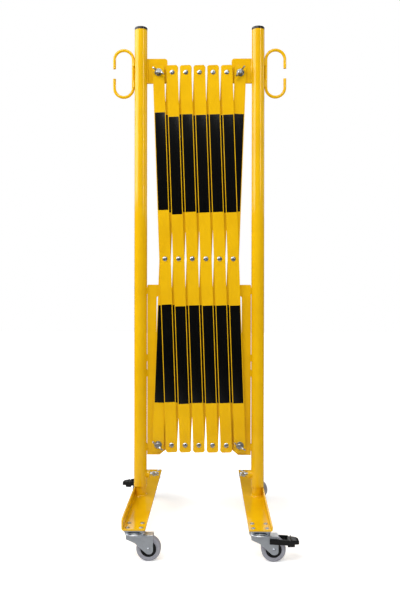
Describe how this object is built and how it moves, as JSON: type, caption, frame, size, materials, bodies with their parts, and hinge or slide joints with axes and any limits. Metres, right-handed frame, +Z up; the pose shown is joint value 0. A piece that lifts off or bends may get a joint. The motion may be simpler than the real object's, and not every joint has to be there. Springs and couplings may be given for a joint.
{
  "type": "mobile expanding scissor barrier",
  "caption": "Folded scissor lattice barrier between two round posts on castored feet, drawn out sideways to close off a lane, with rod hooks for a chain or sign.",
  "frame": {"origin": "on the floor, midway between the two post axes", "axes": "+X from the left post to the right post, +Y from the front to the back, +Z up"},
  "size_m": [0.414, 0.468, 1.172],
  "materials": {
    "yellow_powder_coat": "glossy",
    "zinc_hardware": "bright zinc plated",
    "zinc_fork": "satin zinc plated",
    "black_plastic": "satin",
    "grey_tyre": "smooth"
  },
  "bodies": {
    "left_post": {"left_post_tube": "yellow_powder_coat", "left_end_cap": "black_plastic", "left_rod_hook": "yellow_powder_coat", "left_top_bracket": "yellow_powder_coat", "left_slot_bracket": "yellow_powder_coat", "left_clamp_boss": "yellow_powder_coat", "top_left_bolt": "zinc_hardware"},
    "right_post": {"right_post_tube": "yellow_powder_coat", "right_end_cap": "black_plastic", "right_rod_hook": "yellow_powder_coat", "right_top_bracket": "yellow_powder_coat", "right_slot_bracket": "yellow_powder_coat", "right_clamp_boss": "yellow_powder_coat", "top_right_bolt": "zinc_hardware"},
    "front_slat_1": {"front_slat_1": "yellow_powder_coat", "rivets_1": "zinc_hardware"},
    "rear_slat_1": {"rear_slat_1": "yellow_powder_coat", "bottom_left_bolt": "zinc_hardware"},
    "front_slat_2": {"front_slat_2": "yellow_powder_coat", "rivets_2": "zinc_hardware"},
    "rear_slat_2": {"rear_slat_2": "yellow_powder_coat"},
    "front_slat_3": {"front_slat_3": "yellow_powder_coat", "rivets_3": "zinc_hardware"},
    "rear_slat_3": {"rear_slat_3": "yellow_powder_coat"},
    "front_slat_4": {"front_slat_4": "yellow_powder_coat", "rivets_4": "zinc_hardware"},
    "rear_slat_4": {"rear_slat_4": "yellow_powder_coat"},
    "front_slat_5": {"front_slat_5": "yellow_powder_coat", "rivets_5": "zinc_hardware"},
    "rear_slat_5": {"rear_slat_5": "yellow_powder_coat"},
    "front_slat_6": {"front_slat_6": "yellow_powder_coat", "rivets_6": "zinc_hardware", "bottom_right_bolt": "zinc_hardware"},
    "rear_slat_6": {"rear_slat_6": "yellow_powder_coat"},
    "left_foot": {"left_foot": "yellow_powder_coat", "left_castor_plates": "zinc_hardware", "left_castor_screws": "zinc_hardware"},
    "left_clamp_screw": {"left_clamp_screw": "zinc_hardware"},
    "right_foot": {"right_foot": "yellow_powder_coat", "right_castor_plates": "zinc_hardware", "right_castor_screws": "zinc_hardware"},
    "right_clamp_screw": {"right_clamp_screw": "zinc_hardware"},
    "top_left_wing_nut": {"top_left_wing_nut": "zinc_hardware"},
    "top_right_wing_nut": {"top_right_wing_nut": "zinc_hardware"},
    "bottom_left_wing_nut": {"bottom_left_wing_nut": "zinc_hardware"},
    "bottom_right_wing_nut": {"bottom_right_wing_nut": "zinc_hardware"},
    "front_left_swivel": {"front_left_fork": "zinc_fork"},
    "front_left_wheel": {"front_left_wheel_hub": "black_plastic", "front_left_tyre": "grey_tyre"},
    "front_right_swivel": {"front_right_fork": "zinc_fork"},
    "front_right_wheel": {"front_right_wheel_hub": "black_plastic", "front_right_tyre": "grey_tyre"},
    "front_right_pedal": {"front_right_brake_pedal": "black_plastic"},
    "rear_left_swivel": {"rear_left_fork": "zinc_fork"},
    "rear_left_wheel": {"rear_left_wheel_hub": "black_plastic", "rear_left_tyre": "grey_tyre"},
    "rear_left_pedal": {"rear_left_brake_pedal": "black_plastic"},
    "rear_right_swivel": {"rear_right_fork": "zinc_fork"},
    "rear_right_wheel": {"rear_right_wheel_hub": "black_plastic", "rear_right_tyre": "grey_tyre"}
  },
  "joints": [
    {"name": "fold", "type": "hinge", "parent": "left_post", "child": "front_slat_1", "pos_m": [-0.096, 0, 1.06401], "axis": [0, -1, 0], "range_deg": [0, 50.4]},
    {"name": "cross_1", "type": "hinge", "parent": "front_slat_1", "child": "rear_slat_1", "pos_m": [-0.08, 0, 0.62701], "axis": [0, -1, 0], "range_deg": [-100.81, 0]},
    {"name": "link_1", "type": "hinge", "parent": "front_slat_1", "child": "rear_slat_2", "pos_m": [-0.064, 0, 0.19], "axis": [0, -1, 0], "range_deg": [-100.81, 0]},
    {"name": "cross_2", "type": "hinge", "parent": "rear_slat_2", "child": "front_slat_2", "pos_m": [-0.048, 0, 0.62701], "axis": [0, -1, 0], "range_deg": [0, 100.81]},
    {"name": "link_2", "type": "hinge", "parent": "rear_slat_2", "child": "front_slat_3", "pos_m": [-0.032, 0, 1.06401], "axis": [0, -1, 0], "range_deg": [0, 100.81]},
    {"name": "cross_3", "type": "hinge", "parent": "front_slat_3", "child": "rear_slat_3", "pos_m": [-0.016, 0, 0.62701], "axis": [0, -1, 0], "range_deg": [-100.81, 0]},
    {"name": "link_3", "type": "hinge", "parent": "front_slat_3", "child": "rear_slat_4", "pos_m": [0, 0, 0.19], "axis": [0, -1, 0], "range_deg": [-100.81, 0]},
    {"name": "cross_4", "type": "hinge", "parent": "rear_slat_4", "child": "front_slat_4", "pos_m": [0.016, 0, 0.62701], "axis": [0, -1, 0], "range_deg": [0, 100.81]},
    {"name": "link_4", "type": "hinge", "parent": "rear_slat_4", "child": "front_slat_5", "pos_m": [0.032, 0, 1.06401], "axis": [0, -1, 0], "range_deg": [0, 100.81]},
    {"name": "cross_5", "type": "hinge", "parent": "front_slat_5", "child": "rear_slat_5", "pos_m": [0.048, 0, 0.62701], "axis": [0, -1, 0], "range_deg": [-100.81, 0]},
    {"name": "link_5", "type": "hinge", "parent": "front_slat_5", "child": "rear_slat_6", "pos_m": [0.064, 0, 0.19], "axis": [0, -1, 0], "range_deg": [-100.81, 0]},
    {"name": "cross_6", "type": "hinge", "parent": "rear_slat_6", "child": "front_slat_6", "pos_m": [0.08, 0, 0.62701], "axis": [0, -1, 0], "range_deg": [0, 100.81]},
    {"name": "right_post_pivot", "type": "hinge", "parent": "rear_slat_6", "child": "right_post", "pos_m": [0.096, 0, 1.06401], "axis": [0, -1, 0], "range_deg": [0, 50.41]},
    {"name": "left_foot_swivel", "type": "hinge", "parent": "left_post", "child": "left_foot", "pos_m": [-0.138, 0, 0.07], "axis": [0, 0, 1], "range_deg": [-15, 15]},
    {"name": "left_clamp_turn", "type": "hinge", "parent": "left_post", "child": "left_clamp_screw", "pos_m": [-0.108, 0, 0.12], "axis": [1, 0, 0], "range_deg": [-180, 180]},
    {"name": "right_foot_swivel", "type": "hinge", "parent": "right_post", "child": "right_foot", "pos_m": [0.138, 0, 0.07], "axis": [0, 0, 1], "range_deg": [-15, 15]},
    {"name": "right_clamp_turn", "type": "hinge", "parent": "right_post", "child": "right_clamp_screw", "pos_m": [0.108, 0, 0.12], "axis": [-1, 0, 0], "range_deg": [-180, 180]},
    {"name": "top_left_nut_turn", "type": "hinge", "parent": "left_post", "child": "top_left_wing_nut", "pos_m": [-0.096, -0.015, 1.06401], "axis": [0, -1, 0], "range_deg": [-180, 180]},
    {"name": "top_right_nut_turn", "type": "hinge", "parent": "right_post", "child": "top_right_wing_nut", "pos_m": [0.096, -0.015, 1.06401], "axis": [0, -1, 0], "range_deg": [-180, 180]},
    {"name": "bottom_left_nut_turn", "type": "hinge", "parent": "rear_slat_1", "child": "bottom_left_wing_nut", "pos_m": [-0.096, -0.015, 0.19], "axis": [0, -1, 0], "range_deg": [-180, 180]},
    {"name": "bottom_right_nut_turn", "type": "hinge", "parent": "front_slat_6", "child": "bottom_right_wing_nut", "pos_m": [0.096, -0.015, 0.19], "axis": [0, -1, 0], "range_deg": [-180, 180]},
    {"name": "front_left_swivel_turn", "type": "hinge", "parent": "left_foot", "child": "front_left_swivel", "pos_m": [-0.127, -0.21, 0.067], "axis": [0, 0, 1], "continuous": true},
    {"name": "front_left_wheel_spin", "type": "hinge", "parent": "front_left_swivel", "child": "front_left_wheel", "pos_m": [-0.099, -0.21, 0.025], "axis": [0, 1, 0], "continuous": true},
    {"name": "front_right_swivel_turn", "type": "hinge", "parent": "right_foot", "child": "front_right_swivel", "pos_m": [0.127, -0.21, 0.067], "axis": [0, 0, 1], "continuous": true},
    {"name": "front_right_wheel_spin", "type": "hinge", "parent": "front_right_swivel", "child": "front_right_wheel", "pos_m": [0.155, -0.21, 0.025], "axis": [0, 1, 0], "continuous": true},
    {"name": "front_right_brake_press", "type": "hinge", "parent": "front_right_swivel", "child": "front_right_pedal", "pos_m": [0.152, -0.21, 0.043], "axis": [0, 1, 0], "range_deg": [0, 12]},
    {"name": "rear_left_swivel_turn", "type": "hinge", "parent": "left_foot", "child": "rear_left_swivel", "pos_m": [-0.127, 0.21, 0.067], "axis": [0, 0, 1], "continuous": true},
    {"name": "rear_left_wheel_spin", "type": "hinge", "parent": "rear_left_swivel", "child": "rear_left_wheel", "pos_m": [-0.155, 0.21, 0.025], "axis": [0, 1, 0], "continuous": true},
    {"name": "rear_left_brake_press", "type": "hinge", "parent": "rear_left_swivel", "child": "rear_left_pedal", "pos_m": [-0.152, 0.21, 0.043], "axis": [0, -1, 0], "range_deg": [0, 12]},
    {"name": "rear_right_swivel_turn", "type": "hinge", "parent": "right_foot", "child": "rear_right_swivel", "pos_m": [0.127, 0.21, 0.067], "axis": [0, 0, 1], "continuous": true},
    {"name": "rear_right_wheel_spin", "type": "hinge", "parent": "rear_right_swivel", "child": "rear_right_wheel", "pos_m": [0.155, 0.21, 0.025], "axis": [0, 1, 0], "continuous": true}
  ],
  "couplings": [
    {"joint": "cross_1", "follows": "fold", "ratio": -2},
    {"joint": "link_1", "follows": "fold", "ratio": -2},
    {"joint": "cross_2", "follows": "fold", "ratio": 2},
    {"joint": "link_2", "follows": "fold", "ratio": 2},
    {"joint": "cross_3", "follows": "fold", "ratio": -2},
    {"joint": "link_3", "follows": "fold", "ratio": -2},
    {"joint": "cross_4", "follows": "fold", "ratio": 2},
    {"joint": "link_4", "follows": "fold", "ratio": 2},
    {"joint": "cross_5", "follows": "fold", "ratio": -2},
    {"joint": "link_5", "follows": "fold", "ratio": -2},
    {"joint": "cross_6", "follows": "fold", "ratio": 2},
    {"joint": "right_post_pivot", "follows": "fold", "ratio": 1}
  ]
}
